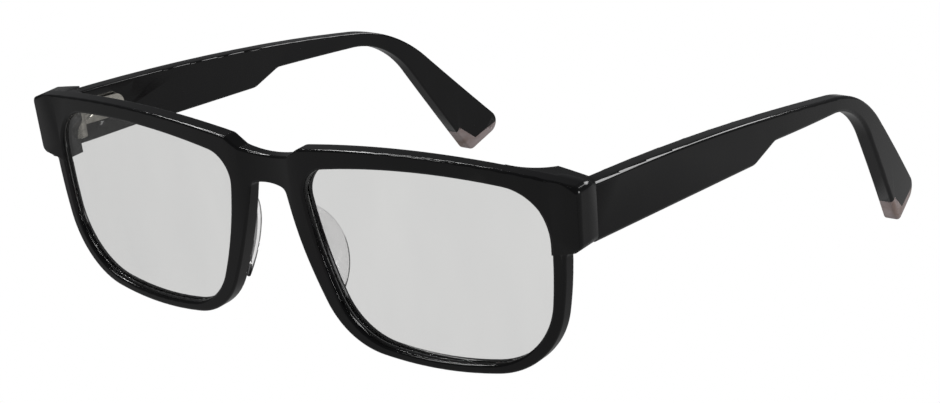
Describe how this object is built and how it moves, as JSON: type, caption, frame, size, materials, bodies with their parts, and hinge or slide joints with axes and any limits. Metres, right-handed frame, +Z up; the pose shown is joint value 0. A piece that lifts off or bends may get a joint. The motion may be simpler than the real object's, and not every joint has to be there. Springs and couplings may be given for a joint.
{
  "type": "eyeglasses",
  "caption": "Rectangular acetate eyeglasses with clear lenses, a lightly curved front, stepped arms that fold on barrel hinges, and capped tips.",
  "frame": {"origin": "centre of the plan outline, on the surface that the rims and arm tips stand on", "axes": "+Z up, the front faces -Y and the open arms run back along +Y; +X is the wearer's left"},
  "size_m": [0.1372, 0.153, 0.0427],
  "materials": {
    "black_acetate": "polished black acetate",
    "clear_lens": "clear demo lens with a faint grey cast",
    "crystal_acetate": "clear polished acetate",
    "hinge_metal": "nickel silver, lightly brushed",
    "screw_metal": "plated steel screws",
    "wire_metal": "nickel silver core wire",
    "mauve_acetate": "polished mauve-grey translucent acetate"
  },
  "bodies": {
    "front": {"front_frame": "black_acetate", "left_lens": "clear_lens", "left_nose_pad": "crystal_acetate", "left_front_hinge_leaf": "hinge_metal", "left_front_leaf_screws": "screw_metal", "left_hinge_screw": "screw_metal", "right_lens": "clear_lens", "right_nose_pad": "crystal_acetate", "right_front_hinge_leaf": "hinge_metal", "right_front_leaf_screws": "screw_metal", "right_hinge_screw": "screw_metal"},
    "left_arm": {"left_arm": "black_acetate", "left_core_wire": "wire_metal", "left_arm_hinge_leaf": "hinge_metal", "left_arm_leaf_screws": "screw_metal", "left_tip_cap": "mauve_acetate"},
    "right_arm": {"right_arm": "black_acetate", "right_core_wire": "wire_metal", "right_arm_hinge_leaf": "hinge_metal", "right_arm_leaf_screws": "screw_metal", "right_tip_cap": "mauve_acetate"}
  },
  "joints": [
    {"name": "left_arm_fold", "type": "hinge", "parent": "front", "child": "left_arm", "pos_m": [0.0628, -0.06322, 0.03492], "axis": [0, -0.1323, 0.9912], "range_deg": [0, 90]},
    {"name": "right_arm_fold", "type": "hinge", "parent": "front", "child": "right_arm", "pos_m": [-0.0628, -0.06322, 0.03492], "axis": [0, 0.1323, -0.9912], "range_deg": [0, 81]}
  ]
}
